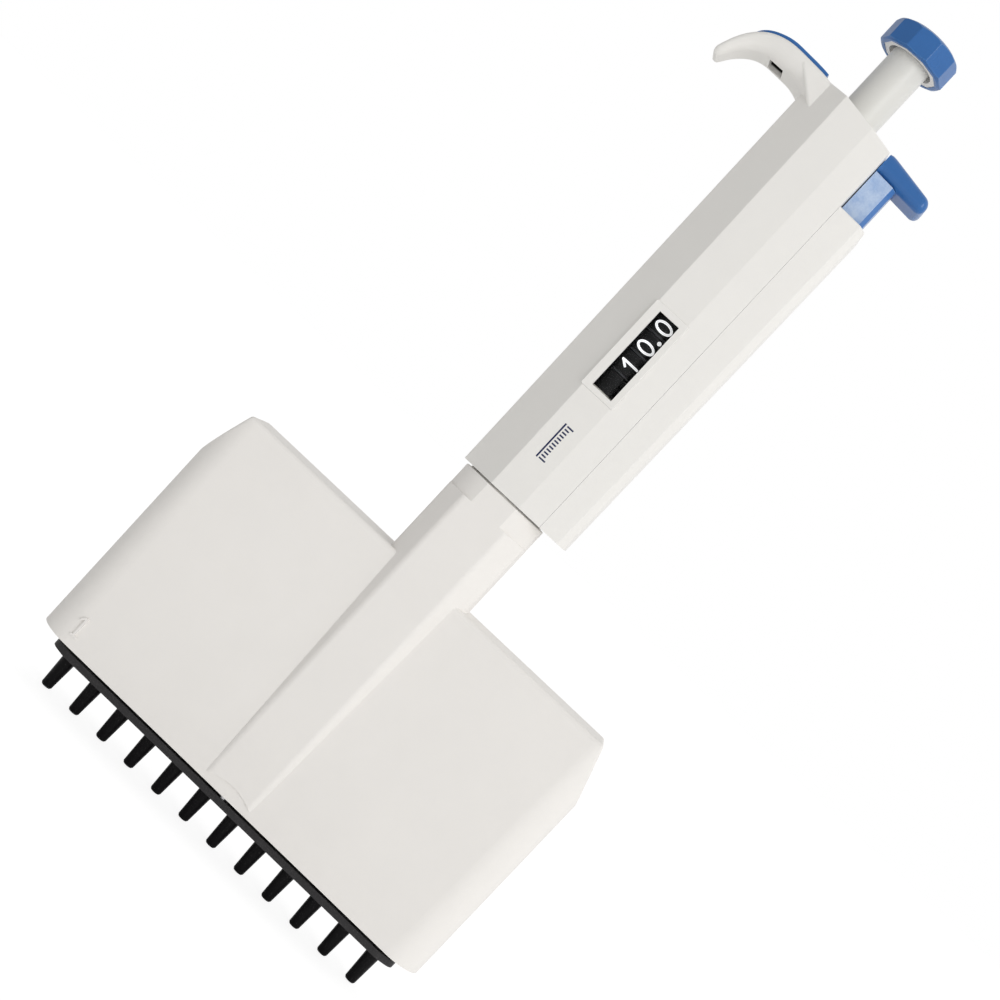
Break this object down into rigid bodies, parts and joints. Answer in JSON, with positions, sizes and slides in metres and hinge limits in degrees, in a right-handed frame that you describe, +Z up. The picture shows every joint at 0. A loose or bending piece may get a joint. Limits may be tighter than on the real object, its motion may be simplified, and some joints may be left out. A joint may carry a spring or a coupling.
{
  "type": "multichannel pipette",
  "caption": "Hand-held multichannel pipette with press knob, tip ejector, finger hook, volume counter window and a wide swivelling manifold with a row of nozzles.",
  "frame": {"origin": "on the plunger axis, in the plane of the nozzle ends", "axes": "+Z up the plunger axis towards the knob; +X along the nozzle row towards the ejector (finger hook at -X); -Y is the front, where the volume window is"},
  "size_m": [0.12, 0.0253, 0.2506],
  "materials": {
    "handle_grey": "fine satin moulded",
    "casing_grey": "fine satin moulded",
    "blue_plastic": "glossy moulded",
    "stem_blue": "satin moulded",
    "white_plastic": "satin moulded",
    "black_plastic": "satin moulded",
    "strip_plastic": "satin moulded",
    "clear_plastic": "clear moulded",
    "acetal": "machined",
    "steel": "ground",
    "spring_steel": "drawn wire",
    "aluminium": "anodised",
    "brass": "turned",
    "rubber": "moulded"
  },
  "bodies": {
    "handle": {"handle_body": "handle_grey", "hook_pad": "blue_plastic", "ejector_cover": "handle_grey", "window_bezel": "handle_grey", "window_lens": "clear_plastic", "counter_spacer": "black_plastic", "counter_plates": "steel", "spring_seat": "acetal", "volume_stop_nut": "brass", "plunger_bushing": "acetal", "main_spring": "spring_steel", "swivel_bearing": "acetal", "ejector_spring": "spring_steel"},
    "plunger": {"thrust_washer": "acetal"},
    "dial": {"plunger_knob": "blue_plastic", "knob_ring": "white_plastic", "plunger_shaft": "white_plastic", "drive_rod": "steel"},
    "tenths_drum": {"counter_core": "brass", "counter_wheel_tenths": "black_plastic"},
    "units_drum": {"counter_wheel_units": "black_plastic"},
    "tens_drum": {"counter_wheel_tens": "black_plastic"},
    "units_pinion": {"carry_pinion_units": "acetal"},
    "tens_pinion": {"carry_pinion_tens": "acetal"},
    "ejector": {"ejector_button": "blue_plastic", "ejector_stem": "stem_blue", "ejector_rod": "steel", "ejector_foot": "acetal"},
    "manifold": {"manifold_front_shell": "casing_grey", "manifold_rear_shell": "casing_grey", "casing_screws": "steel", "swivel_spigot": "acetal", "swivel_clip": "spring_steel", "nozzle_block": "acetal", "nozzles": "black_plastic", "piston_seals": "rubber", "seal_retainer": "aluminium", "carrier_spring": "spring_steel"},
    "carriage": {"push_rod": "steel", "piston_carrier": "aluminium", "carrier_clamp_bar": "aluminium", "pistons": "steel"},
    "stripper": {"stripper_plate": "strip_plastic", "stripper_pushrods": "steel", "ejector_ring": "acetal"}
  },
  "joints": [
    {"name": "plunger_press", "type": "slide", "parent": "handle", "child": "plunger", "axis": [0, 0, -1], "range_m": [0, 0.0125], "stiffness_N_per_m": 250, "springref_m": -0.004, "deforming": ["main_spring"]},
    {"name": "knob_turn", "type": "hinge", "parent": "plunger", "child": "dial", "pos_m": [0, 0, 0.2], "axis": [0, 0, 1], "range_deg": [-3420, 0]},
    {"name": "tenths_drum_turn", "type": "hinge", "parent": "handle", "child": "tenths_drum", "pos_m": [0, 0, 0.16], "axis": [0, 0, 1], "range_deg": [-3420, 0]},
    {"name": "units_drum_turn", "type": "hinge", "parent": "handle", "child": "units_drum", "pos_m": [0, 0, 0.154], "axis": [0, 0, 1], "range_deg": [-342, 0]},
    {"name": "tens_drum_turn", "type": "hinge", "parent": "handle", "child": "tens_drum", "pos_m": [0, 0, 0.148], "axis": [0, 0, 1], "range_deg": [-34.2, 0]},
    {"name": "units_pinion_turn", "type": "hinge", "parent": "handle", "child": "units_pinion", "pos_m": [0, 0.00695, 0.158], "axis": [0, 0, 1], "range_deg": [-855, 0]},
    {"name": "tens_pinion_turn", "type": "hinge", "parent": "handle", "child": "tens_pinion", "pos_m": [0, 0.00695, 0.152], "axis": [0, 0, 1], "range_deg": [-85.5, 0]},
    {"name": "ejector_press", "type": "slide", "parent": "handle", "child": "ejector", "axis": [0, 0, -1], "range_m": [0, 0.006], "stiffness_N_per_m": 300, "springref_m": -0.003, "deforming": ["ejector_spring"]},
    {"name": "manifold_swivel", "type": "hinge", "parent": "handle", "child": "manifold", "pos_m": [0, 0, 0.1], "axis": [0, 0, 1], "continuous": true},
    {"name": "carriage_slide", "type": "slide", "parent": "manifold", "child": "carriage", "axis": [0, 0, -1], "range_m": [0, 0.0125], "deforming": ["carrier_spring"]},
    {"name": "stripper_slide", "type": "slide", "parent": "manifold", "child": "stripper", "axis": [0, 0, -1], "range_m": [0, 0.006]}
  ],
  "couplings": [
    {"joint": "tenths_drum_turn", "follows": "knob_turn", "ratio": 1},
    {"joint": "units_drum_turn", "follows": "knob_turn", "ratio": 0.1},
    {"joint": "tens_drum_turn", "follows": "knob_turn", "ratio": 0.01},
    {"joint": "units_pinion_turn", "follows": "knob_turn", "ratio": 0.25},
    {"joint": "tens_pinion_turn", "follows": "knob_turn", "ratio": 0.025},
    {"joint": "carriage_slide", "follows": "plunger_press", "ratio": 1},
    {"joint": "stripper_slide", "follows": "ejector_press", "ratio": 1}
  ]
}
